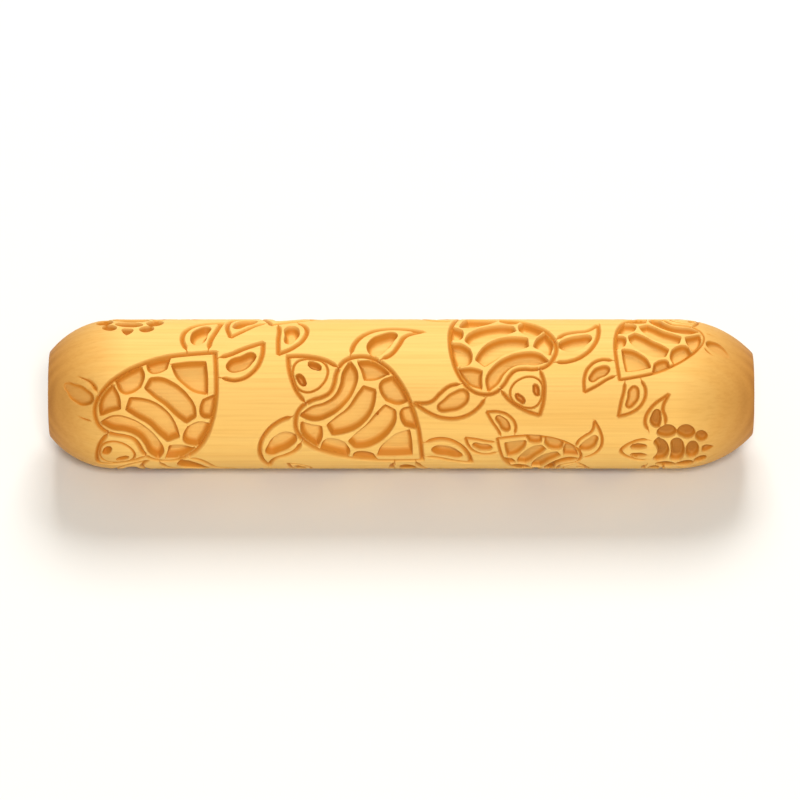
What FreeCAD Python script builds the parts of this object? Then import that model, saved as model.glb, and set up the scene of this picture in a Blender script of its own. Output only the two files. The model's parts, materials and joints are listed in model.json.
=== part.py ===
# Hand roller turned from one piece of pale hardwood.
# A straight barrel with a carved pattern of sea turtles, arc shoulders and two flat ends.
# Axis along X, centre at the origin, millimetres.
import FreeCAD, Part
import math
import os
import Sketcher

os.makedirs("parts", exist_ok=True)
doc = FreeCAD.newDocument("pattern_roller")
Vector = FreeCAD.Vector

# ---------------------------------------------------------------- sizes
SIZES = [
    ("rollerLength", 200.0),
    ("barrelDiameter", 42.5),
    ("leftShoulder", 19.0),
    ("rightShoulder", 22.0),
    ("leftFlatDiameter", 23.2),
    ("rightFlatDiameter", 22.4),
    ("edgeRadius", 1.0),
    ("grooveWidth", 1.5),
    ("grooveDepth", 0.9),
    ("pocketDepth", 2.6),
    ("pocketWall", 0.9),
    ("patternTurn", -45.0),
]
sheet = doc.addObject("Spreadsheet::Sheet", "sizes")
for row, (alias, value) in enumerate(SIZES, start=1):
    sheet.set("A%d" % row, alias)
    sheet.set("B%d" % row, str(value))
    sheet.setAlias("B%d" % row, alias)
doc.recompute()
size = {alias: sheet.get(alias) for alias, _ in SIZES}

half_length = size["rollerLength"] / 2
barrel_radius = size["barrelDiameter"] / 2
edge_radius = size["edgeRadius"]


def shoulder_radius(shoulder, flat_radius):
    """Radius of the arc that leaves the barrel level and meets the rounded edge smoothly."""
    run = shoulder - edge_radius
    drop = barrel_radius - flat_radius
    return (run ** 2 + drop ** 2 - edge_radius ** 2) / (2 * (drop - edge_radius))


# ---------------------------------------------------------------- turned blank
blank = doc.addObject("PartDesign::Body", "turned_blank")
blank.Label = "turned blank"
front_plane = next(f for f in blank.Origin.OriginFeatures if f.Role == "XZ_Plane")
profile = blank.newObject("Sketcher::SketchObject", "half_profile")
profile.AttachmentSupport = (front_plane, [""])
profile.MapMode = "FlatFace"


def arc(centre_x, centre_y, radius, start, end):
    circle = Part.Circle(Vector(centre_x, centre_y, 0), Vector(0, 0, 1), radius)
    return Part.ArcOfCircle(circle, start, end)


def line(x1, y1, x2, y2):
    return Part.LineSegment(Vector(x1, y1, 0), Vector(x2, y2, 0))


left_flat = size["leftFlatDiameter"] / 2
right_flat = size["rightFlatDiameter"] / 2
left_arc = shoulder_radius(size["leftShoulder"], left_flat)
right_arc = shoulder_radius(size["rightShoulder"], right_flat)
left_x = -half_length + size["leftShoulder"]
right_x = half_length - size["rightShoulder"]
left_join = math.atan2(left_flat - barrel_radius + left_arc, -half_length + edge_radius - left_x)
right_join = math.atan2(right_flat - barrel_radius + right_arc, half_length - edge_radius - right_x)

axis_line = profile.addGeometry(line(-half_length, 0, half_length, 0))
left_face = profile.addGeometry(line(-half_length, 0, -half_length, left_flat))
left_edge = profile.addGeometry(
    arc(-half_length + edge_radius, left_flat, edge_radius, left_join, math.pi))
left_curve = profile.addGeometry(
    arc(left_x, barrel_radius - left_arc, left_arc, math.pi / 2, left_join))
barrel_line = profile.addGeometry(line(left_x, barrel_radius, right_x, barrel_radius))
right_curve = profile.addGeometry(
    arc(right_x, barrel_radius - right_arc, right_arc, right_join, math.pi / 2))
right_edge = profile.addGeometry(
    arc(half_length - edge_radius, right_flat, edge_radius, 0, right_join))
right_face = profile.addGeometry(line(half_length, right_flat, half_length, 0))

START, END, ORIGIN = 1, 2, -1


def constrain(*arguments):
    return profile.addConstraint(Sketcher.Constraint(*arguments))


def dimension(expression, *arguments):
    index = constrain(*arguments)
    profile.setExpression("Constraints[%d]" % index, expression)


constrain("Horizontal", axis_line)
constrain("PointOnObject", axis_line, START, ORIGIN)
constrain("Coincident", axis_line, START, left_face, START)
constrain("Vertical", left_face)
constrain("Tangent", left_face, END, left_edge, END)
constrain("Tangent", left_edge, START, left_curve, END)
constrain("Tangent", left_curve, START, barrel_line, START)
constrain("Horizontal", barrel_line)
constrain("Tangent", barrel_line, END, right_curve, END)
constrain("Tangent", right_curve, START, right_edge, END)
constrain("Tangent", right_edge, START, right_face, START)
constrain("Vertical", right_face)
constrain("Coincident", right_face, END, axis_line, END)
dimension("sizes.rollerLength / 2", "DistanceX", axis_line, START, ORIGIN, START, half_length)
dimension("sizes.rollerLength / 2", "DistanceX", ORIGIN, START, axis_line, END, half_length)
dimension("sizes.leftFlatDiameter / 2", "DistanceY", left_face, START, left_face, END, left_flat)
dimension("sizes.rightFlatDiameter / 2", "DistanceY", right_face, END, right_face, START, right_flat)
dimension("sizes.barrelDiameter / 2", "DistanceY", ORIGIN, START, barrel_line, START, barrel_radius)
dimension("sizes.edgeRadius", "Radius", left_edge, edge_radius)
dimension("sizes.edgeRadius", "Radius", right_edge, edge_radius)
dimension("sizes.leftShoulder", "DistanceX", left_face, START, left_curve, START, size["leftShoulder"])
dimension("sizes.rightShoulder", "DistanceX", right_curve, END, right_face, START,
          size["rightShoulder"])

turning = blank.newObject("PartDesign::Revolution", "turning")
turning.Profile = profile
turning.ReferenceAxis = (profile, ["H_Axis"])
turning.Angle = 360
doc.recompute()


# ---------------------------------------------------------------- carving: drawing tools
def surface_radius(x):
    """Radius of the turned surface at x."""
    if x < left_x:
        run = min(left_x - x, size["leftShoulder"] - edge_radius)
        return barrel_radius - left_arc + math.sqrt(left_arc ** 2 - run ** 2)
    if x > right_x:
        run = min(x - right_x, size["rightShoulder"] - edge_radius)
        return barrel_radius - right_arc + math.sqrt(right_arc ** 2 - run ** 2)
    return barrel_radius


def through(points, count):
    """Smooth open curve through the points, sampled at equal steps of its length."""
    curve = Part.BSplineCurve()
    curve.interpolate([Vector(s, t, 0) for s, t in points])
    return [(p.x, p.y) for p in curve.toShape().discretize(Number=count)]


def mirrored(points):
    return [(s, -t) for s, t in points]


class Place:
    """Where a turtle lies on the unrolled barrel: tail, heading, scale, and size of its cuts."""

    def __init__(self, x, y, heading, scale, cut_scale):
        angle = math.radians(heading)
        self.x, self.y, self.scale = x, y, scale
        self.along = (math.cos(angle), math.sin(angle))
        self.cut_scale = cut_scale

    def flat(self, point):
        s, t = point
        c, n = self.along
        return (self.x + self.scale * (s * c - t * n), self.y + self.scale * (s * n + t * c))

    def wrap(self, point, depth):
        """Point of the unrolled drawing laid on the turned surface, `depth` below it."""
        x, y = self.flat(point)
        radius = surface_radius(x) - depth
        angle = y / barrel_radius + math.radians(size["patternTurn"])
        return Vector(x, radius * math.sin(angle), radius * math.cos(angle))


def edge_through(points):
    curve = Part.BSplineCurve()
    curve.interpolate(points)
    return curve.toShape()


def closed_solid(faces):
    shell = Part.makeShell(faces)
    shell.sewShape()
    solid = Part.makeSolid(shell.Shells[0])
    if solid.Volume < 0:
        solid.reverse()
    return solid


def tube(place, rails):
    """Closed solid along rails, each a list of (point, depth); both ends are flat facets."""
    points = [[place.wrap(point, depth) for point, depth in rail] for rail in rails]
    edges = [edge_through(rail) for rail in points]
    faces = [Part.makeRuledSurface(edges[i - 1], edges[i]) for i in range(len(edges))]
    for end in (0, -1):
        corners = [rail[end] for rail in points]
        if len(corners) == 3:
            faces.append(Part.Face(Part.makePolygon(corners + corners[:1])))
        else:
            lid_edge = Part.makeLine(corners[0], corners[1])
            floor_edge = Part.makeLine(corners[3], corners[2])
            faces.append(Part.makeRuledSurface(lid_edge, floor_edge))
    return closed_solid(faces)


def between(a, b, part):
    return (a[0] + (b[0] - a[0]) * part, a[1] + (b[1] - a[1]) * part)


def pocket(place, left, right, count=9):
    """Scooped pocket between two side curves that share both ends."""
    fine = 61
    sides = list(zip(through(left, fine), through(right, fine)))
    depth = size["pocketDepth"] * place.cut_scale
    wall = size["pocketWall"] * place.cut_scale / place.scale
    length = math.dist(left[0], left[-1])
    widest = max(math.dist(a, b) for a, b in sides) / 2
    shrink = 1 - min(wall / widest, 0.55)
    blunt = 0.06
    step_in = blunt + min(wall / length, 0.22)
    lid = 0.6
    rails = [[], [], [], []]
    for i in range(count):
        u = i / (count - 1)
        rim = sides[round((blunt + (1 - 2 * blunt) * u) * (fine - 1))]
        low = sides[round((step_in + (1 - 2 * step_in) * u) * (fine - 1))]
        centre = between(low[0], low[1], 0.5)
        reach = ((rim[0][0] - rim[1][0]) / 2 * shrink, (rim[0][1] - rim[1][1]) / 2 * shrink)
        floor = [(centre[0] + reach[0], centre[1] + reach[1]),
                 (centre[0] - reach[0], centre[1] - reach[1])]
        top = [between(floor[k], rim[k], 1 + lid / depth) for k in (0, 1)]
        rails[0].append((top[0], -lid))
        rails[1].append((top[1], -lid))
        rails[2].append((floor[1], depth))
        rails[3].append((floor[0], depth))
    return tube(place, rails)


def normals(points):
    out = []
    for i in range(len(points)):
        before = points[max(i - 1, 0)]
        after = points[min(i + 1, len(points) - 1)]
        reach = math.dist(before, after)
        out.append(((before[1] - after[1]) / reach, (after[0] - before[0]) / reach))
    return out


def groove_size(place):
    """Lid height, depth and half width at the lid, the last one in the drawing's units."""
    lid = 0.15
    depth = size["grooveDepth"] * place.cut_scale
    half = size["grooveWidth"] / 2 * place.cut_scale / place.scale * (depth + lid) / depth
    return lid, depth, half


def groove(place, points, count=9):
    """V groove along an open curve, narrower and shallower at both ends."""
    path = through(points, count)
    lid, depth, half = groove_size(place)
    rails = [[], [], []]
    for i, (point, normal) in enumerate(zip(path, normals(path))):
        fade = 0.35 + 0.65 * math.sin(math.pi * i / (count - 1)) ** 0.5
        reach = (normal[0] * half * fade, normal[1] * half * fade)
        rails[0].append(((point[0] + reach[0], point[1] + reach[1]), -lid))
        rails[1].append(((point[0] - reach[0], point[1] - reach[1]), -lid))
        rails[2].append((point, (depth + lid) * fade - lid))
    return tube(place, rails)


def ring_groove(place, side):
    """V groove all round a shell, mirrored about the body line, with its corner at the tail."""
    half_path = through(side, 14)
    path = half_path + mirrored(half_path[-2::-1])
    lid, depth, half = groove_size(place)
    directions = normals(path[-2:-1] + path + path[1:2])[1:-1]
    slope = math.atan2(path[1][1], path[1][0])
    directions[0] = directions[-1] = (-1 / math.sin(slope), 0)
    edges = []
    for sign in (1, -1):
        rim = [(p[0] + sign * half * n[0], p[1] + sign * half * n[1])
               for p, n in zip(path, directions)]
        edges.append(edge_through([place.wrap(point, -lid) for point in rim]))
    edges.append(edge_through([place.wrap(point, depth) for point in path]))
    return closed_solid([Part.makeRuledSurface(edges[i - 1], edges[i]) for i in range(3)])


# ---------------------------------------------------------------- carving: the turtles
# Distances run from the tail corner: s toward the head, t to the left, at full size.
SHELL = [(0, 0), (5.4, 5.2), (10.2, 9.3), (16, 12.8), (22.4, 15.3), (28.6, 16.2), (33.6, 15.2),
         (36.9, 12.4), (38.3, 8.9), (37.4, 5.2), (35.6, 2.2), (35, 0)]
HEAD = [(39.9, 6.6), (42, 6.2), (45, 4.9), (48.2, 2.7), (50.2, 0.9), (50.6, 0),
        (50.2, -0.9), (48.2, -2.7), (45, -4.9), (42, -6.2), (39.9, -6.6)]
FRONT_EDGES = [
    [(39.2, 13.2), (40.4, 17.2), (40.2, 21.6), (38, 26.2), (34.2, 29.6), (29.4, 32.2)],
    [(31.3, 28.6), (31.1, 26.6), (30.2, 23.6), (29.8, 20.6), (30.5, 18.2)],
]
HIND_EDGES = [
    [(3.6, 7.3), (1.4, 10.8), (-2.6, 12.1), (-7.2, 11), (-11.4, 7.9)],
    [(-8.2, 6.6), (-6.2, 5.4), (-3.4, 4.2), (-1.2, 3.2)],
]
# Pockets as two side curves with shared ends.
SIDE_POCKETS = [
    ([(33.6, 17.4), (35.8, 17.6), (37, 20.2), (36.6, 23.2), (34.4, 26.4)],
     [(33.6, 17.4), (32.2, 18.6), (32.2, 20.8), (33, 23.8), (34.4, 26.4)]),
    ([(1.4, 6.4), (0.6, 8.4), (-1.6, 9.5), (-4.4, 9.5), (-6.6, 8.6)],
     [(1.4, 6.4), (-0.8, 5.4), (-3.2, 6.4), (-5, 7.4), (-6.6, 8.6)]),
    ([(28, 11.2), (27.6, 13.4), (29.2, 14.2), (31.6, 13.6), (34.2, 11.8)],
     [(28, 11.2), (29.4, 10), (31.2, 9.8), (33, 10.4), (34.2, 11.8)]),
    ([(17.4, 11.5), (19.6, 12.6), (22.4, 13.6), (25, 13.6), (25.8, 11.4)],
     [(17.4, 11.5), (18.9, 10.2), (21.4, 9.5), (24, 9.8), (25.8, 11.4)]),
    ([(10.9, 7.4), (12.2, 8.8), (13.8, 9.8), (15.3, 10.5), (16.2, 9.8)],
     [(10.9, 7.4), (12.4, 7.2), (13.9, 7.4), (15.4, 8.3), (16.2, 9.8)]),
    ([(45.4, 2.4), (44.5, 3.5), (43, 4.1), (41.3, 3.6)],
     [(45.4, 2.4), (44.1, 1.9), (42.4, 2.3), (41.3, 3.6)]),
]
MIDDLE_POCKETS = [
    ([(35.9, 9.8), (35.9, 7.4), (34, 3.6), (33.1, 0), (34, -3.6), (35.9, -7.4), (35.9, -9.8)],
     [(35.9, 9.8), (33.4, 8.8), (31.1, 5), (30.2, 0), (31.1, -5), (33.4, -8.8), (35.9, -9.8)]),
    ([(27.6, 8.6), (28.9, 7), (28.5, 3.8), (28, 0), (28.5, -3.8), (28.9, -7), (27.6, -8.6)],
     [(27.6, 8.6), (25.8, 7.8), (23.5, 4.6), (22.6, 0), (23.5, -4.6), (25.8, -7.8), (27.6, -8.6)]),
    ([(19.5, 8.7), (20.9, 7.2), (20.9, 3.8), (20.6, 0), (20.9, -3.8), (20.9, -7.2), (19.5, -8.7)],
     [(19.5, 8.7), (17.8, 7.9), (15.8, 4.6), (15, 0), (15.8, -4.6), (17.8, -7.9), (19.5, -8.7)]),
    ([(10.9, 6.3), (12.2, 3.8), (12.7, 0), (12.2, -3.8), (10.9, -6.3)],
     [(10.9, 6.3), (7.4, 3.4), (4.6, 0), (7.4, -3.4), (10.9, -6.3)]),
]
# Small turtle without a shell outline.
BABY_HEAD = [(16.4, 4.4), (18.4, 4.4), (21.2, 3.4), (23.6, 1.6), (24.4, 0),
             (23.6, -1.6), (21.2, -3.4), (18.4, -4.4), (16.4, -4.4)]
BABY_FRONT_EDGES = [
    [(16.6, 7.2), (17.8, 10.4), (16.2, 14.4), (11.2, 18.4)],
    [(12.4, 16), (12.7, 14.2), (12, 11.6), (12.2, 9)],
]
BABY_SIDE_POCKETS = [
    ([(21.4, 1.6), (20, 2.6), (18.4, 2.6), (17.4, 2)],
     [(21.4, 1.6), (20, 1.1), (18.4, 1.1), (17.4, 2)]),
    ([(14.4, 9), (15.9, 10.2), (15.7, 12), (14.4, 13.6)],
     [(14.4, 9), (13.7, 10.4), (13.8, 12), (14.4, 13.6)]),
    ([(9.6, 6.4), (10.4, 8), (12.4, 7.8), (13.6, 6)], [(9.6, 6.4), (10.6, 5.4), (12.2, 5.2), (13.6, 6)]),
    ([(4.6, 6), (5.2, 7.9), (7, 8), (7.9, 6.4)], [(4.6, 6), (5.4, 5.2), (6.8, 5.2), (7.9, 6.4)]),
    ([(1, 5.6), (1.4, 6.8), (2.6, 6.9), (3.2, 5.9)], [(1, 5.6), (1.6, 4.9), (2.5, 4.9), (3.2, 5.9)]),
]
BABY_MIDDLE_POCKETS = [
    ([(13.6, 4.2), (14.7, 3.4), (13.9, 1.6), (13.5, 0), (13.9, -1.6), (14.7, -3.4), (13.6, -4.2)],
     [(13.6, 4.2), (12.5, 3.4), (11.6, 1.6), (11.2, 0), (11.6, -1.6), (12.5, -3.4), (13.6, -4.2)]),
    ([(8.8, 4.3), (10, 3.2), (9.9, 1.4), (9.8, 0), (9.9, -1.4), (10, -3.2), (8.8, -4.3)],
     [(8.8, 4.3), (7.6, 3.2), (7.2, 1.4), (7, 0), (7.2, -1.4), (7.6, -3.2), (8.8, -4.3)]),
    ([(4.3, 2.8), (5.4, 1.6), (5.5, 0), (5.4, -1.6), (4.3, -2.8)],
     [(4.3, 2.8), (3.2, 1.6), (3, 0), (3.2, -1.6), (4.3, -2.8)]),
]

# Places on the unrolled barrel: x, y, heading in degrees, scale.
TURTLES = [
    (-52.5, 12.5, -131, 1.0),
    (6, -23, 138, 1.0),
    (17.2, 34.8, -62, 0.91),
    (61.5, 4, 54, 0.75),
    (27.1, -13.6, -36, 0.64),
    (-36.8, 25, 65, 0.95),
    (-46, -52, 180, 0.88),
    (43, -64, 166, 0.84),
    (-31.5, -34, 308, 0.62),
]
BABIES = [
    (86.5, -18.5, 180, 1.0),
    (-77.5, 21, 85, 1.0),
    (77, -57, 244, 1.0),
    (40.5, 34, 78, 0.9),
    (60.5, -35, 250, 0.84),
]


def motif_cutters(place, head, edges, side_pockets, middle_pockets):
    cutters = [groove(place, head)]
    for shape in edges:
        cutters.append(groove(place, shape))
        cutters.append(groove(place, mirrored(shape)))
    for left, right in side_pockets:
        cutters.append(pocket(place, left, right))
        cutters.append(pocket(place, mirrored(left), mirrored(right)))
    for left, right in middle_pockets:
        cutters.append(pocket(place, left, right))
    return cutters


cutters = []
for spot in TURTLES:
    place = Place(*spot, cut_scale=0.15 + 0.85 * spot[3])
    cutters.append(ring_groove(place, SHELL))
    cutters += motif_cutters(place, HEAD, FRONT_EDGES + HIND_EDGES, SIDE_POCKETS, MIDDLE_POCKETS)
for spot in BABIES:
    place = Place(*spot, cut_scale=0.65 * spot[3])
    cutters += motif_cutters(place, BABY_HEAD, BABY_FRONT_EDGES, BABY_SIDE_POCKETS,
                             BABY_MIDDLE_POCKETS)
for cutter in cutters:
    if not cutter.isValid():
        raise RuntimeError("a carving cutter is not valid")

carving = doc.addObject("Part::Feature", "carving")
carving.Label = "turtle carving"
carving.Shape = Part.makeCompound(cutters)

roller = doc.addObject("Part::Cut", "carved_roller")
roller.Label = "carved_roller"
roller.Refine = False
roller.Base = blank
roller.Tool = carving
doc.recompute()

for item in doc.Objects:
    if "Invalid" in item.State or "Error" in item.State:
        raise RuntimeError("%s did not build: %s" % (item.Name, item.State))
if roller.Shape.isNull() or not roller.Shape.isValid():
    raise RuntimeError("carved_roller is not a valid shape")
if len(roller.Shape.Solids) != 1:
    raise RuntimeError("carved_roller is not one solid")
roller.Shape.exportStep("parts/%s.step" % roller.Label)
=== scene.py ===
import json
import math

import bpy
import numpy as np
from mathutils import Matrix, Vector
from mathutils.geometry import delaunay_2d_cdt
from mathutils.kdtree import KDTree

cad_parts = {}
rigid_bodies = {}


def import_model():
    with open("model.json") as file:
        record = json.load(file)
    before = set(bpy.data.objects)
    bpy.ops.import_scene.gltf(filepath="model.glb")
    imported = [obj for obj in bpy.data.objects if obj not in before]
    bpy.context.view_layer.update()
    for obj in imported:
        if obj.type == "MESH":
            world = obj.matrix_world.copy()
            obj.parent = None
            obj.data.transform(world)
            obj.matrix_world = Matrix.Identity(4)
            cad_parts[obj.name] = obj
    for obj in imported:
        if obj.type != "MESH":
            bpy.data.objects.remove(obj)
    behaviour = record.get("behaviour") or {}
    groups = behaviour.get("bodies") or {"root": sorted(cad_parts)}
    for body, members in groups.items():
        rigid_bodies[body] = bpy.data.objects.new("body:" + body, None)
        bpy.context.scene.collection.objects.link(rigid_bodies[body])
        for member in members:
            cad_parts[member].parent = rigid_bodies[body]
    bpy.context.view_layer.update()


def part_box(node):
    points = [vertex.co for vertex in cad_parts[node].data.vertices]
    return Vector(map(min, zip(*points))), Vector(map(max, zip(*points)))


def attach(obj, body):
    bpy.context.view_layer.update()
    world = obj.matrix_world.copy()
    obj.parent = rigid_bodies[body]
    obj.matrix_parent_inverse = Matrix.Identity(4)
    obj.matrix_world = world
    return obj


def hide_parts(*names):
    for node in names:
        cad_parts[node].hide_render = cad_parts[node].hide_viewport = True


for leftover in list(bpy.data.objects):
    bpy.data.objects.remove(leftover)
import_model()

# ---------------------------------------------------------------- carved roller: the turtles
# Fourteen sea turtles, grown ones and hatchlings, carved into the wood all round the barrel. A V
# tool runs along their outlines, and a ball tool scoops out the scutes, flippers and eyes.
MM = 0.001
CURVE_STEPS = 16
FINE = 0.6

# One outline: the cut, how it is mirrored about the body line, its corners, and its points in
# millimetres (s from the tail toward the head, t to the left). A "ring" closes on its mirror
# image, a "through" line runs on into it, and a "pair" is drawn on both sides. A "fine line" is
# FINE times as wide and deep as a line.
ADULT = [
    ("line", "ring", [0],
     [(0, 0), (5.4, 5.2), (10.2, 9.3), (16, 12.8), (22.4, 15.3), (28.6, 16.2), (33.6, 15.2),
      (36.9, 12.4), (38.2, 8.9), (37.3, 5.2), (35.7, 2.4), (35, 0)]),
    ("line", "through", [5],
     [(37.9, 6.9), (40, 6.6), (42.6, 6), (45.4, 4.6), (48.4, 2.5), (51, 0)]),
    ("line", "pair", [5],
     [(38.2, 12), (40.1, 16.2), (40.3, 21.4), (38.2, 26.2), (34.6, 29.6), (29.4, 32.4),
      (31.4, 27.6), (30.4, 23.8), (29.8, 20.2), (30.9, 16.6)]),
    ("line", "pair", [4],
     [(5, 6.2), (2.2, 10.5), (-2.6, 12.2), (-7.2, 11.1), (-11.6, 7.9), (-6.4, 5.4), (-2.4, 3.8),
      (0.8, 1.9)]),
    ("scoop", "ring", [3],
     [(30, 0), (30.8, 5), (33.1, 8.9), (36.6, 10.3), (35.9, 6.8), (34, 3.6), (33.1, 0)]),
    ("scoop", "ring", [3, 4],
     [(22.4, 0), (22.7, 2.8), (24, 6), (26, 8.8), (29, 7.5), (28.6, 4.2), (28, 0)]),
    ("scoop", "ring", [3, 4],
     [(14.8, 0), (15.1, 3), (16.1, 6.1), (18, 8.2), (20.9, 7.5), (21, 4), (20.7, 0)]),
    ("scoop", "ring", [0, 2],
     [(4.4, 0), (7.6, 3.4), (10.9, 6.3), (12.5, 3.2), (12.8, 0)]),
    ("scoop", "pair", [0, 3, 5],
     [(26.7, 14.9), (29.6, 15), (32.6, 14.1), (34.9, 12), (32.2, 10.7), (30.2, 9.4),
      (28.1, 11.6)]),
    ("scoop", "pair", [0, 2, 4],
     [(24.8, 15), (20.9, 14.1), (17.4, 12.7), (18.7, 10.5), (21.7, 9.1), (24.4, 9.9), (26, 11.6)]),
    ("scoop", "pair", [0, 2, 3],
     [(15.2, 11.8), (12.4, 10.3), (10, 8.5), (12.9, 7.1), (15, 8), (16.4, 9.8)]),
    ("scoop", "pair", [],
     [(33.2, 16.8), (35.7, 17), (37.3, 20), (36.8, 23.4), (34.4, 26.6), (32.9, 23.6), (32.3, 20.2)]),
    ("scoop", "pair", [],
     [(1.4, 6.2), (-0.6, 9.1), (-4.2, 9.8), (-6.6, 8.7), (-3.4, 6.6), (-0.6, 5.3)]),
    ("scoop", "pair", [],
     [(45, 2.4), (44.1, 3.2), (42.7, 3.6), (41.8, 3.2), (42.6, 2.5), (44, 2)]),
    ("fine line", "ring", [],
     [(38.1, 0), (38.6, 2.6), (40.2, 4.6), (42.5, 5.2), (44.9, 4.2), (46.9, 2.5), (47.9, 0)]),
]
HATCHLING = [
    ("line", "through", [],
     [(16.4, 4.4), (18.4, 4.5), (21.2, 3.5), (23.6, 1.6), (24.4, 0)]),
    ("line", "pair", [3],
     [(16.6, 7.2), (17.8, 10.4), (16.2, 14.4), (11.2, 18.4), (12.8, 14.2), (12, 11.4), (12.2, 9)]),
    ("scoop", "ring", [3],
     [(11.1, 0), (11.4, 2), (12.3, 4), (14, 5), (14.9, 3.6), (14.1, 1.8), (13.7, 0)]),
    ("scoop", "ring", [],
     [(6.8, 0), (6.9, 1.8), (7.4, 3.8), (8.7, 4.9), (10, 3.9), (10, 1.8), (9.9, 0)]),
    ("scoop", "ring", [],
     [(2.7, 0), (3, 2.1), (4.3, 3.6), (5.5, 2.2), (5.7, 0)]),
    ("scoop", "pair", [],
     [(21.4, 1.6), (20, 2.7), (18.2, 2.6), (17.4, 2), (18.4, 1.2), (20, 1.1)]),
    ("scoop", "pair", [],
     [(14.4, 8.9), (16, 10.2), (15.8, 12), (14.3, 13.8), (13.6, 12), (13.6, 10.4)]),
    ("scoop", "pair", [],
     [(9.3, 7), (10.3, 9), (12.5, 8.8), (14.1, 6.8), (12.4, 5.7), (10.6, 5.8)]),
    ("scoop", "pair", [],
     [(4, 6.4), (4.9, 8.7), (7.2, 9), (8.4, 7), (7, 5.6), (5.3, 5.2)]),
    ("scoop", "pair", [],
     [(0.4, 4.4), (0.8, 6.2), (2.2, 7), (3.2, 5.9), (2.8, 4.4), (1.5, 3.6)]),
    ("scoop", "ring", [0],
     [(-1.6, 0), (-0.2, 1), (0.9, 1.2), (1.2, 0)]),
]

# Where they lie on the unrolled barrel: x, y, heading in degrees, scale. y is zero along the line
# that faces the viewer, and grows toward the back over the top.
ADULT_SPOTS = [
    (-52.5, 12.5, -131, 1.0), (6, -23, 138, 1.0), (17.2, 34.8, -62, 0.91), (61.5, 4, 54, 0.75),
    (27.1, -13.6, -36, 0.64), (-36.8, 25, 65, 0.95), (-46, -52, 180, 0.88), (43, -64, 166, 0.84),
    (-31.5, -34, 308, 0.62),
]
HATCHLING_SPOTS = [
    (86.5, -18.5, 180, 1.0), (-77.5, 21, 85, 1.0), (77, -57, 244, 1.0), (40.5, 34, 78, 0.9),
    (60.5, -35, 250, 0.84),
]


def add_object(name, data):
    """A new object, linked into the scene."""
    made = bpy.data.objects.new(name, data)
    bpy.context.scene.collection.objects.link(made)
    return made


def outline_curve(name, shapes, cut):
    """Curve object with one smooth spline for every outline made by one kind of cut."""
    curve = bpy.data.curves.new(name, "CURVE")
    for kind, mirror, corners, points in shapes:
        if not kind.endswith(cut):
            continue
        flipped = [(s, -t) for s, t in points]
        corner_set = {side[i] for side in (points, flipped) for i in corners}
        if mirror == "pair":
            paths = [points, flipped]
        elif mirror == "ring":
            paths = [points + flipped[-2:0:-1]]
        else:
            paths = [points + flipped[-2::-1]]
        for path in paths:
            spline = curve.splines.new("BEZIER")
            spline.use_cyclic_u = cut == "scoop" or mirror == "ring"
            spline.resolution_u = CURVE_STEPS
            spline.bezier_points.add(len(path) - 1)
            for point, (s, t) in zip(spline.bezier_points, path):
                point.co = (s * MM, t * MM, 0)
                point.radius = FINE if kind == "fine line" else 1.0
                handle = "VECTOR" if (s, t) in corner_set else "AUTO"
                point.handle_left_type = point.handle_right_type = handle
    return add_object(name, curve)


def point_mesh(name, points, **values):
    """Mesh object of loose points that carry named numbers."""
    mesh = bpy.data.meshes.new(name)
    mesh.from_pydata(points, [], [])
    for key, numbers in values.items():
        mesh.attributes.new(key, "FLOAT", "POINT").data.foreach_set("value", numbers)
    return add_object(name, mesh)


class Wire:
    """An output socket that can stand in sums: wire * 2 + other adds the Math nodes it needs."""

    def __init__(self, graph, socket):
        self.graph = graph
        self.socket = socket

    def out(self, name):
        return Wire(self.graph, self.socket.node.outputs[name])

    def math(self, operation, *terms):
        return self.graph.node("ShaderNodeMath", {"operation": operation}, dict(enumerate(terms)))

    def __add__(self, other):
        return self.math("ADD", self, other)

    def __sub__(self, other):
        return self.math("SUBTRACT", self, other)

    def __mul__(self, other):
        return self.math("MULTIPLY", self, other)

    def __truediv__(self, other):
        return self.math("DIVIDE", self, other)

    def __radd__(self, other):
        return self.math("ADD", other, self)

    def __rsub__(self, other):
        return self.math("SUBTRACT", other, self)

    def __rmul__(self, other):
        return self.math("MULTIPLY", other, self)

    def __rtruediv__(self, other):
        return self.math("DIVIDE", other, self)

    def __pow__(self, other):
        return self.math("POWER", self, other)

    def __lt__(self, other):
        return self.math("LESS_THAN", self, other)

    def __gt__(self, other):
        return self.math("GREATER_THAN", self, other)

    def __abs__(self):
        return self.math("ABSOLUTE", self)

    def least(self, other):
        return self.math("MINIMUM", self, other)

    def most(self, other):
        return self.math("MAXIMUM", self, other)

    def clamp(self):
        return self.most(0.0).least(1.0)

    def sin(self):
        return self.math("SINE", self)

    def cos(self):
        return self.math("COSINE", self)


class Graph:
    """A node tree: node() adds any node, and returns its first output as a Wire."""

    def __init__(self, tree):
        self.tree = tree

    def node(self, kind, settings=(), values=()):
        made = self.tree.nodes.new(kind)
        for name, value in dict(settings).items():
            setattr(made, name, value)
        for key, value in dict(values).items():
            for term in value if isinstance(value, list) else [value]:
                if isinstance(term, Wire):
                    self.tree.links.new(term.socket, made.inputs[key])
                else:
                    made.inputs[key].default_value = term
        return Wire(self, made.outputs[0]) if made.outputs else made

    def named(self, attribute):
        return self.node("GeometryNodeInputNamedAttribute", {"data_type": "FLOAT"},
                         {"Name": attribute})

    def store(self, geometry, attribute, value):
        return self.node("GeometryNodeStoreNamedAttribute",
                         {"data_type": "FLOAT", "domain": "POINT"},
                         {"Geometry": geometry, "Name": attribute, "Value": value})

    def vector(self, x, y, z):
        return self.node("ShaderNodeCombineXYZ", (), {"X": x, "Y": y, "Z": z})


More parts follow.
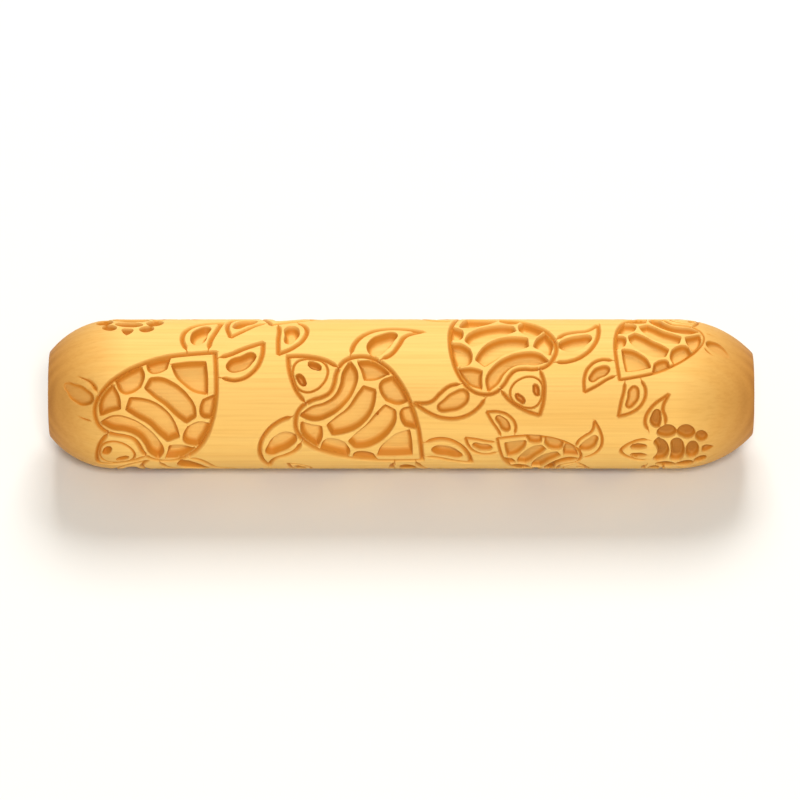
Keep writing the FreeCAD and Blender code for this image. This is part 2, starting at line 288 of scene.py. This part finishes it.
def geometry_graph(name, inputs):
    """Empty Geometry Nodes tree with named inputs, each a (socket kind, default value)."""
    tree = bpy.data.node_groups.new(name, "GeometryNodeTree")
    tree.interface.new_socket("Geometry", in_out="INPUT", socket_type="NodeSocketGeometry")
    for key, (kind, default) in inputs.items():
        socket = tree.interface.new_socket(key, in_out="INPUT", socket_type="NodeSocket" + kind)
        if default is not None:
            socket.default_value = default
    tree.interface.new_socket("Geometry", in_out="OUTPUT", socket_type="NodeSocketGeometry")
    graph = Graph(tree)
    return graph, graph.node("NodeGroupInput")


def grow(host, tree, **values):
    """Runs a tree on an object, with values by input name, and returns the result as a mesh."""
    modifier = host.modifiers.new(tree.name, "NODES")
    modifier.node_group = tree
    for item in tree.interface.items_tree:
        if item.in_out == "INPUT" and item.name in values:
            modifier[item.identifier] = values[item.name]
    graph = bpy.context.evaluated_depsgraph_get()
    mesh = bpy.data.meshes.new_from_object(host.evaluated_get(graph), depsgraph=graph)
    host.modifiers.remove(modifier)
    return mesh


# The barrel's own sizes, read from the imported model.
low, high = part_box("carved_roller")
half_length = (high[0] - low[0]) / 2
barrel_radius = (high[2] - low[2]) / 2
half_girth = math.pi * barrel_radius

# Outlines are drawn in short steps, and a line's loose ends run out over a longer stretch.
STEP = 0.45 * MM
LINE_END = 1.6 * MM


def laid_out(cut):
    """Tree that sets outlines at the turtles' spots, with copies one turn up and one turn down."""
    graph, start = geometry_graph("lay out " + cut, {
        "Outline": ("Object", None), "Step": ("Float", STEP), "Girth": ("Float", 2 * half_girth),
        "Line end": ("Float", LINE_END)})
    curve = graph.node("GeometryNodeObjectInfo", {"transform_space": "ORIGINAL"},
                       {"Object": start.out("Outline")}).out("Geometry")
    curve = graph.node("GeometryNodeResampleCurve", {"mode": "LENGTH"},
                       {"Curve": curve, "Length": start.out("Step")})
    if cut == "scoop":
        drawn = graph.node("GeometryNodeFillCurve", {"mode": "NGONS"}, {"Curve": curve})
    else:
        along = graph.node("GeometryNodeSplineParameter").out("Length")
        whole = graph.node("GeometryNodeSplineLength")
        closed = graph.node("GeometryNodeInputSplineCyclic")
        ends = along.least(whole - along) / start.out("Line end")
        fade = ends.clamp().most(closed) * graph.node("GeometryNodeInputRadius")
        curve = graph.store(curve, "fade", fade)
        drawn = graph.node("GeometryNodeCurveToMesh", (), {"Curve": curve})
    spots = []
    for turn in (-1, 0, 1):
        shift = graph.vector(0.0, start.out("Girth") * turn, 0.0)
        spots.append(graph.node("GeometryNodeTransform", (),
                                {"Geometry": start, "Translation": shift}))
    spots = graph.node("GeometryNodeJoinGeometry", (), {"Geometry": spots})
    turned = graph.vector(0.0, 0.0, graph.named("heading"))
    placed = graph.node("GeometryNodeInstanceOnPoints", (), {
        "Points": spots, "Instance": drawn, "Rotation": turned, "Scale": graph.named("scale")})
    real = graph.node("GeometryNodeRealizeInstances", (), {"Geometry": placed})
    graph.node("NodeGroupOutput", (), {"Geometry": real})
    return graph.tree


# Smaller turtles are cut with smaller tools, and their narrow scoops get painted shade, darker
# toward
# the floor: a grown turtle's not at all at full size and fully at half size, a hatchling's fully.
ADULT_TOOL_LEAST = 0.15
ADULT_TOOL_GROWTH = 0.85
HATCHLING_TOOL = 0.82


def cutter(name, scale):
    """Size of the tool that cuts a turtle, and how strongly its scoops get painted shade, from 0 to
    1.
    """
    if name == "hatchling":
        return HATCHLING_TOOL * scale, 1.0
    return ADULT_TOOL_LEAST + ADULT_TOOL_GROWTH * scale, (2 - 2 * scale) ** 3


def drawing(cut):
    """One object with every outline that a kind of cut makes, laid out on the unrolled barrel."""
    tree = laid_out(cut)
    drawn = []
    for name, shapes, spots in (("adult", ADULT, ADULT_SPOTS),
                                ("hatchling", HATCHLING, HATCHLING_SPOTS)):
        outline = outline_curve(name + "_" + cut, shapes, cut)
        tools, narrow_scoop_shades = zip(*[cutter(name, scale) for *_, scale in spots])
        host = point_mesh(name + "_spots", [(x * MM, y * MM, 0) for x, y, *_ in spots],
                          heading=[math.radians(turn) for *_, turn, _ in spots],
                          scale=[scale for *_, scale in spots], cut=tools, scorch=narrow_scoop_shades)
        drawn.append(add_object(cut + "_drawing", grow(host, tree, Outline=outline)))
        bpy.data.objects.remove(host)
        bpy.data.objects.remove(outline)
    with bpy.context.temp_override(active_object=drawn[0], selected_editable_objects=drawn):
        bpy.ops.object.join()
    return drawn[0]


line_drawing = drawing("line")
scoop_drawing = drawing("scoop")

# ---------------------------------------------------------------- carved roller: the carved body
# A solid bar of pale hardwood, turned between centres: straight barrel, arc shoulders, flat ends
# with a broken edge. Its skin is made flat, as if unrolled, then carved and rolled up.
LINE_WIDTH = 1.7 * MM
LINE_DEPTH = 1.1 * MM
SCOOP_DEPTH = 2.6 * MM
SCOOP_WALL = 1.6 * MM
SCOOP_RIM = 0.6 * MM
# a line that runs out keeps this share of its width and depth
LEAST_FADE = 0.3
# cuts lose this share of the shoulder's drop from their depth
RUN_OUT_SHARE = 0.45
PATTERN_TURN = math.radians(-45)
EDGE_RADIUS = 1.0 * MM
CRISP_ANGLE = math.radians(32)


def shoulder(length, flat_radius):
    """Where a shoulder starts, its arc's radius and sweep, and its flat end's radius."""
    run = length - EDGE_RADIUS
    drop = barrel_radius - flat_radius
    radius = (run ** 2 + drop ** 2 - EDGE_RADIUS ** 2) / (2 * (drop - EDGE_RADIUS))
    return half_length - length, radius, math.asin(run / (radius - EDGE_RADIUS)), flat_radius


SHOULDERS = {-1: shoulder(length=19 * MM, flat_radius=11.6 * MM),
             1: shoulder(length=22 * MM, flat_radius=11.2 * MM)}


def girth_line(x):
    """Distance from the middle along the profile, for a place x on the barrel or a shoulder."""
    start, radius, sweep, _ = SHOULDERS[1 if x > 0 else -1]
    over = abs(x) - start
    if over <= 0:
        return x
    return math.copysign(start + radius * math.asin(min(over / radius, math.sin(sweep))), x)


def vertex_table(mesh, *names):
    """Vertex places (x, y) as an array, and the named numbers that the vertices carry."""
    table = np.empty(len(mesh.vertices) * 3)
    mesh.vertices.foreach_get("co", table)
    columns = []
    for name in names:
        column = np.empty(len(mesh.vertices))
        mesh.attributes[name].data.foreach_get("value", column)
        columns.append(column)
    return table.reshape(-1, 3)[:, :2], *columns


def nearest_tree(places):
    """Search tree that finds the nearest of the places."""
    tree = KDTree(len(places))
    for i, (x, y) in enumerate(places):
        tree.insert((x, y, 0), i)
    tree.balance()
    return tree


# Guide points stand where a cut's section bends: across a line, in shares of half its width, and
# down a scoop's wall, in shares of the wall from the rim. A guide is dropped where another
# outline is nearer than its own, and drawings count up to SEAM_ROOM past the seam.
LINE_SHARES = (0, 0.45, -0.45, 1, -1)
WALL_SHARES = (0, 0.11, 0.26, 0.44, 0.65, 0.95)
OWN_SHARE = 0.93
SEAM_ROOM = 2 * MM
ROUNDING = 1e-7
SHORTEST = 1e-9


def guide_points(runs, places, tools, offsets):
    """Points beside closed or open runs of vertices, at the offsets that the cut's section needs."""
    on_skin = places[np.abs(places[:, 1]) < half_girth + SEAM_ROOM]
    tree = nearest_tree(on_skin)
    kept = []
    for before, here, after in runs:
        x, y = places[here]
        if abs(y) > half_girth + SEAM_ROOM:
            continue
        along = places[after] - places[before]
        along /= max(np.hypot(*along), SHORTEST)
        for offset in offsets:
            shift = offset * tools[here]
            at_x, at_y = x - along[1] * shift, y + along[0] * shift
            if abs(at_y) < half_girth and abs(at_x) < half_length:
                if tree.find((at_x, at_y, 0))[2] > OWN_SHARE * abs(shift) - ROUNDING:
                    kept.append((at_x, at_y))
    return kept


places, cut, fade = vertex_table(line_drawing.data, "cut", "fade")
neighbours = {}
for edge in line_drawing.data.edges:
    first, second = edge.vertices
    neighbours.setdefault(first, []).append(second)
    neighbours.setdefault(second, []).append(first)
runs = [(near[0], here, near[1] if len(near) > 1 else here)
        for here, near in neighbours.items()]
guides = guide_points(runs, places, cut * np.maximum(fade, LEAST_FADE),
                      [share * LINE_WIDTH / 2 for share in LINE_SHARES])
places, cut = vertex_table(scoop_drawing.data, "cut")
runs = []
for face in scoop_drawing.data.polygons:
    loop = list(face.vertices)
    if face.normal.z < 0:
        loop.reverse()
    runs += zip(loop[-1:] + loop[:-1], loop, loop[1:] + loop[:1])
guides += guide_points(runs, places, cut,
                       [share * SCOOP_WALL - SCOOP_RIM for share in WALL_SHARES])


def thinned(points, gap):
    """The points without those closer than the gap to an earlier one."""
    taken = {}
    out = []
    for x, y in points:
        column, row = int(x // gap), int(y // gap)
        near = [other for i in (-1, 0, 1) for j in (-1, 0, 1)
                for other in taken.get((column + i, row + j), ())]
        if all((x - a) ** 2 + (y - b) ** 2 > gap ** 2 for a, b in near):
            taken.setdefault((column, row), []).append((x, y))
            out.append((x, y))
    return out


def spread(first, last, count):
    """Numbers from the first to the last, in a count of even steps."""
    return [first + (last - first) * i / count for i in range(count + 1)]


# The skin has points at the guides, on the lands between the cuts, along the seam, alike on both
# sides, and in rows on the rounded edges and the flat faces, which shrink toward the middle.
GUIDE_GAP = 0.17 * MM
SEAM_GAP = 0.15 * MM
LAND_STEP = 1.25 * MM
LAND_STRETCH = 1.12
LAND_GAP = 0.5 * MM
SEAM_STEP = 0.4 * MM
EDGE_ROWS = 4
FACE_ROWS = (0.06, 0.15, 0.27, 0.4, 0.54, 0.68, 0.82, 0.93, 1.0)
FACE_STEP = 1.6 * MM
LEAST_ROW_SHARE = 0.06
LEAST_ROW_POINTS = 8

skin = [(girth_line(x), y) for x, y in thinned(guides, GUIDE_GAP)
        if abs(y) < half_girth - SEAM_GAP]
tree = nearest_tree(skin)
ends = {}
for side, (start, radius, sweep, _) in SHOULDERS.items():
    arc_end = start + radius * sweep
    ends[side] = (arc_end, arc_end + EDGE_RADIUS * (math.pi / 2 - sweep))
carved_from, carved_to = -ends[-1][0], ends[1][0]
carved_length = carved_to - carved_from
rows = round(2 * half_girth / (LAND_STEP * LAND_STRETCH))
for i, u in enumerate(spread(carved_from, carved_to, round(carved_length / LAND_STEP))):
    for j in range(rows):
        y = -half_girth + 2 * half_girth * (j + 0.5 * (i % 2)) / rows
        if abs(y) < half_girth - SEAM_STEP and tree.find((u, y, 0))[2] > LAND_GAP:
            skin.append((u, y))
for u in spread(carved_from, carved_to, round(carved_length / SEAM_STEP)):
    skin += [(u, -half_girth), (u, half_girth)]
for side, (*_, flat_radius) in SHOULDERS.items():
    edge_from, edge_to = ends[side]
    rows = spread(edge_from, edge_to, EDGE_ROWS)[1:]
    rows += [edge_to + flat_radius * share for share in FACE_ROWS]
    for u in rows:
        share = max(LEAST_ROW_SHARE, 1 - max(u - edge_to, 0) / flat_radius)
        count = max(LEAST_ROW_POINTS, round(2 * half_girth * share / FACE_STEP))
        skin += [(side * u, y) for y in spread(-half_girth, half_girth, count)]
places, _, triangles, *_ = delaunay_2d_cdt(skin, [], [], 0, ROUNDING)
mesh = bpy.data.meshes.new("unrolled_skin")
mesh.from_pydata([(x, y, 0) for x, y in places], [], triangles)
blank = add_object("unrolled_skin", mesh)

# How strongly the walls of scoops and lines take an amber tone, partly the cut wood's own and partly
# painted shade, how strongly narrow scoops' floors take painted shade, and the depth over which it
# comes in.
SCOOP_WALL_SHADE_TONE = 1.9
LINE_WALL_SHADE_TONE = 1.6
FLOOR_SHADE_TONE = 0.8
TONE_DEPTH = 0.3 * MM
# Close enough to nothing: a scoop at its rim, a place inside an outline, and points that merge.
CUT_BEGINS = 0.001
TOUCHING = 0.001 * MM
MERGE_GAP = 0.01 * MM

sizes = {"Barrel radius": barrel_radius, "Edge radius": EDGE_RADIUS, "Line width": LINE_WIDTH,
         "Line depth": LINE_DEPTH, "Scoop wall": SCOOP_WALL, "Scoop rim": SCOOP_RIM,
         "Scoop depth": SCOOP_DEPTH, "Pattern turn": PATTERN_TURN,
         "Crisp angle": CRISP_ANGLE, "Run-out share": RUN_OUT_SHARE}
for side, word in ((-1, "Left"), (1, "Right")):
    for key, value in zip((" shoulder start", " arc radius", " arc sweep"), SHOULDERS[side]):
        sizes[word + key] = value
inputs = {key: ("Float", value) for key, value in sizes.items()}
inputs["Lines"] = ("Object", None)
inputs["Scoops"] = ("Object", None)
inputs["Material"] = ("Material", None)
graph, start = geometry_graph("carve and roll up", inputs)
place = graph.node("GeometryNodeInputPosition")
split = graph.node("ShaderNodeSeparateXYZ", (), {"Vector": place})
u, y = split.out("X"), split.out("Y")
right = u > 0.0


def sided(key):
    """A size that differs between the left and the right shoulder."""
    left_value = start.out("Left " + key)
    return left_value + (start.out("Right " + key) - left_value) * right


# the turned profile: how far along, and how far out, each place of the skin is
along = abs(u)
arc_radius, sweep, edge = sided("arc radius"), sided("arc sweep"), start.out("Edge radius")
on_arc = ((along - sided("shoulder start")) / arc_radius).most(0.0).least(sweep)
past_arc = along - sided("shoulder start") - arc_radius * sweep
on_edge = (past_arc / edge).most(0.0).least(math.pi / 2 - sweep)
on_face = (past_arc - edge * (math.pi / 2 - sweep)).most(0.0)
x = (along.least(sided("shoulder start")) + arc_radius * on_arc.sin()
     + edge * ((sweep + on_edge).sin() - sweep.sin()))
radius = (start.out("Barrel radius") - arc_radius * (1 - on_arc.cos())
          - edge * (sweep.cos() - (sweep + on_edge).cos()) - on_face)
x = x * (2 * right - 1)
drawn_at = graph.vector(x, y, 0.0)


def near_drawing(key, element):
    """Distance to a drawing, and a reader of the numbers it carries there."""
    drawing = graph.node("GeometryNodeObjectInfo", (), {"Object": start.out(key)}).out("Geometry")
    distance = graph.node("GeometryNodeProximity", {"target_element": element},
                          {"Geometry": drawing, "Sample Position": drawn_at}).out("Distance")
    index = graph.node("GeometryNodeSampleNearest", (),
                       {"Geometry": drawing, "Sample Position": drawn_at})

    def read(attribute):
        return graph.node("GeometryNodeSampleIndex", (), {
            "Geometry": drawing, "Value": graph.named(attribute), "Index": index})

    return distance, read


# lines are V cuts, and scoops curve down from their rim to a level floor
distance, read = near_drawing("Lines", "EDGES")
tool = read("cut") * read("fade").most(LEAST_FADE)
across = (distance / (start.out("Line width") * 0.5 * tool)).clamp()
line_depth = start.out("Line depth") * tool * (1 - across)
distance, read = near_drawing("Scoops", "EDGES")
inside = near_drawing("Scoops", "FACES")[0] < TOUCHING
tool, scorch = read("cut"), read("scorch")
inward = distance * (2 * inside - 1) + start.out("Scoop rim") * tool
fall = (inward / (start.out("Scoop wall") * tool)).clamp()
scoop_depth = start.out("Scoop depth") * tool * (fall * (2 - fall))
depth = line_depth.most(scoop_depth)

# the cutter only half follows the shoulders, so the cuts run out there
depth = (depth - (start.out("Barrel radius") - radius) * start.out("Run-out share")).most(0.0)
carved_radius = radius - depth
angle = y / start.out("Barrel radius") + start.out("Pattern turn")
rolled = graph.vector(x, carved_radius * angle.sin(), carved_radius * angle.cos())
# amber on the upper scoop walls and toward the bottoms of the lines: partly the cut wood's tone,
# partly painted shade
scoop_wall_shade = (1 - fall) * SCOOP_WALL_SHADE_TONE * (fall > CUT_BEGINS)
wall = scoop_wall_shade.most((1 - across) * LINE_WALL_SHADE_TONE).clamp()
# painted shade on the floors of narrow scoops, darker toward the floor
floor_shade = scorch * fall
wall = wall.most(floor_shade * FLOOR_SHADE_TONE) * (depth / TONE_DEPTH).clamp()
geometry = graph.store(start, "cut_depth", depth)
geometry = graph.store(geometry, "cut_wall", wall)
geometry = graph.store(geometry, "scorch", floor_shade)
geometry = graph.node("GeometryNodeSetPosition", (), {"Geometry": geometry, "Position": rolled})
geometry = graph.node("GeometryNodeMergeByDistance", (),
                      {"Geometry": geometry, "Distance": MERGE_GAP})
geometry = graph.node("GeometryNodeSetShadeSmooth", {"domain": "FACE"}, {"Geometry": geometry})
fold = graph.node("GeometryNodeInputMeshEdgeAngle")
geometry = graph.node("GeometryNodeSetShadeSmooth", {"domain": "EDGE"}, {
    "Geometry": geometry, "Selection": fold > start.out("Crisp angle"), "Shade Smooth": False})
geometry = graph.node("GeometryNodeRealizeInstances", (), {"Geometry": geometry})
geometry = graph.node("GeometryNodeSetMaterial", (), {
    "Geometry": geometry, "Material": start.out("Material")})
graph.node("NodeGroupOutput", (), {"Geometry": geometry})
wood = bpy.data.materials.new("carved_wood")
roller_mesh = grow(blank, graph.tree, Lines=line_drawing, Scoops=scoop_drawing, Material=wood)
for each in (blank, line_drawing, scoop_drawing):
    bpy.data.objects.remove(each)
roller = add_object("carved_roller_body", roller_mesh)
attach(roller, "root")
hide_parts("carved_roller")

# ---------------------------------------------------------------- carved roller: the wood
# Pale warm hardwood with fine straight grain along the roller, sanded smooth and oiled. Cut walls
# are amber, partly darker end grain and partly painted shade, and the shoulders and the flat ends
# show darker end grain. The cuts get painted shade with depth, and narrow scoops more painted shade.
wood.use_nodes = True
wood.node_tree.nodes.clear()
shade = Graph(wood.node_tree)


def tone(red, green, blue):
    """Colour given as eight-bit display values, as the linear RGBA that a shader uses."""
    return (*[((v / 255 + 0.055) / 1.055) ** 2.4 if v > 10 else v / 255 / 12.92
              for v in (red, green, blue)], 1)


def blend(amount, first, second):
    """Mix of two colours, with the amount of the second; the numbers are its colour sockets."""
    return shade.node("ShaderNodeMix", {"data_type": "RGBA"},
                      {0: amount, 6: first, 7: second}).out(2)


def carried(attribute):
    """A number that the carving left on the surface."""
    return shade.node("ShaderNodeAttribute", {"attribute_name": attribute}).out("Fac")


where = shade.node("ShaderNodeTexCoord").out("Object")
split = shade.node("ShaderNodeSeparateXYZ", (), {"Vector": where})
px, py, pz = split.out("X"), split.out("Y"), split.out("Z")


def mottle(along, across, detail):
    """Noise drawn out along the bar: its scale along and across, per metre, and its detail."""
    return shade.node("ShaderNodeTexNoise", {"noise_dimensions": "3D"}, {
        "Vector": shade.vector(px * along, py * across, pz * across),
        "Scale": 1.0, "Detail": detail})


# growth rings about a pith well outside the bar, fibres, and broad patches
PITH_Y = -55 * MM
PITH_Z = 35 * MM
RING_WIDTH = 3.4 * MM
RING_WANDER = 2.2
wander = mottle(along=6.0, across=40.0, detail=2.0)
fibre = mottle(along=30.0, across=1400.0, detail=3.0)
patch = mottle(along=9.0, across=55.0, detail=2.0)
ring = (((py - PITH_Y) ** 2 + (pz - PITH_Z) ** 2) ** 0.5) / RING_WIDTH + wander * RING_WANDER
ring = (ring * math.tau).sin() * 0.5 + 0.5

# the sanded barrel: pale to warm in rings and patches, with brown streaks of fibre
RING_TINT = 0.22
PATCH_TINT = 0.8
PALE_BIAS = 0.05
FIBRE_LEVEL = 0.45
FIBRE_TINT = 0.75
PALE_WOOD = tone(243, 199, 114)
WARM_WOOD = tone(238, 184, 95)
FIBRE_BROWN = tone(200, 132, 52)
warmth = ring * RING_TINT + patch * PATCH_TINT - PALE_BIAS
colour = blend(warmth.clamp(), PALE_WOOD, WARM_WOOD)
colour = blend((fibre - FIBRE_LEVEL).clamp() * FIBRE_TINT, colour, FIBRE_BROWN)

# the shoulders and ends: end grain, with rings only near the flat faces
END_GRAIN_FROM = 77 * MM
END_GRAIN_RUN = 22 * MM
END_TINT = 0.92
END_RING_FALL = 5
END_RING_TINT = 0.55
END_FIBRE_TINT = 0.35
END_BIAS = 0.15
END_WOOD = tone(193, 131, 56)
END_RING_BROWN = tone(165, 104, 41)
end_grain = ((abs(px) - END_GRAIN_FROM) / END_GRAIN_RUN).clamp()
cross_rings = (ring * end_grain ** END_RING_FALL * END_RING_TINT
               + (fibre - FIBRE_LEVEL) * END_FIBRE_TINT + END_BIAS)
cross_cut = blend(cross_rings.clamp(), END_WOOD, END_RING_BROWN)
colour = blend(end_grain * END_TINT, colour, cross_cut)

# the cuts: painted shade deeper with depth, amber on the walls that is partly cut grain and partly
# painted shade, and brown painted shade in narrow scoops
DEPTH_SHADE_TINT = 0.12
WALL_AND_SHADE_TINT = 0.84
NARROW_SHADE_TINT = 0.38
DEPTH_SHADE_WOOD = tone(200, 126, 40)
WALL_AMBER_AND_SHADE = tone(198, 119, 14)
NARROW_SHADE_BROWN = tone(112, 50, 0)
# painted shade: the cuts are darker the deeper they go
deepness = (carried("cut_depth") / SCOOP_DEPTH).clamp()
colour = blend(deepness * DEPTH_SHADE_TINT, colour, DEPTH_SHADE_WOOD)
colour = blend(carried("cut_wall") * WALL_AND_SHADE_TINT, colour, WALL_AMBER_AND_SHADE)
colour = blend(carried("scorch") * NARROW_SHADE_TINT, colour, NARROW_SHADE_BROWN)

ROUGHNESS = 0.5
FIBRE_ROUGHNESS = 0.12
bump = shade.node("ShaderNodeBump", (), {"Strength": 0.25, "Distance": 0.2 * MM, "Height": fibre})
surface = shade.node("ShaderNodeBsdfPrincipled", (), {
    "Base Color": colour, "Roughness": ROUGHNESS + fibre * FIBRE_ROUGHNESS, "Normal": bump,
    "Specular IOR Level": 0.12})
shade.node("ShaderNodeOutputMaterial", (), {"Surface": surface})

# ---------------------------------------------------------------- floor, lights and camera
# A white table that runs past the view, a broad soft light high behind the roller, a smaller
# warm one from the front, a weak warm one low down, and warm white surroundings.
FLOOR_REACH = 3
floor_mesh = bpy.data.meshes.new("floor")
floor_mesh.from_pydata([(FLOOR_REACH * x, FLOOR_REACH * y, low[2])
                        for x, y in ((-1, -1), (1, -1), (1, 1), (-1, 1))], [], [(0, 1, 2, 3)])
floor = add_object("floor", floor_mesh)
paper = bpy.data.materials.new("white_table")
paper.use_nodes = True
matt = paper.node_tree.nodes["Principled BSDF"]
matt.inputs["Base Color"].default_value = (0.78, 0.77, 0.74, 1)
matt.inputs["Roughness"].default_value = 0.9
floor_mesh.materials.append(paper)


def aim(thing):
    """Turns a light or the camera toward the middle of the roller."""
    direction = Vector((0, 0, 0)) - thing.location
    thing.rotation_euler = direction.to_track_quat("-Z", "Y").to_euler()


WHITE = (1, 1, 1)
WARM = (1, 0.97, 0.92)


def softbox(name, place, width, watts, colour):
    """Square soft light that shines on the roller."""
    light = bpy.data.lights.new(name, "AREA")
    light.shape = "SQUARE"
    light.size = width
    light.energy = watts
    light.color = colour
    made = add_object(name, light)
    made.location = place
    aim(made)


softbox("key_light", place=(0.1, 1.42, 1.72), width=1.0, watts=40.5, colour=WHITE)
softbox("front_light", place=(0.1, -1.4, 1.67), width=0.45, watts=29, colour=WARM)
softbox("low_light", place=(-0.5, -2.1, 0.35), width=0.8, watts=2.5, colour=WARM)
world = bpy.data.worlds.new("surroundings")
bpy.context.scene.world = world
world.use_nodes = True
world.node_tree.nodes["Background"].inputs["Color"].default_value = (*WARM, 1)
world.node_tree.nodes["Background"].inputs["Strength"].default_value = 0.34
bpy.context.scene.view_settings.view_transform = "Standard"

VIEW_HEIGHT = math.radians(45)
VIEW_DISTANCE = 1.9
camera = add_object("camera", bpy.data.cameras.new("camera"))
camera.location = (0, -VIEW_DISTANCE * math.cos(VIEW_HEIGHT),
                   VIEW_DISTANCE * math.sin(VIEW_HEIGHT))
aim(camera)
camera.data.lens = 300.3
camera.data.sensor_width = 36
camera.data.shift_x = -0.0015
camera.data.shift_y = -0.0076
camera.data.clip_end = 10
bpy.context.scene.camera = camera
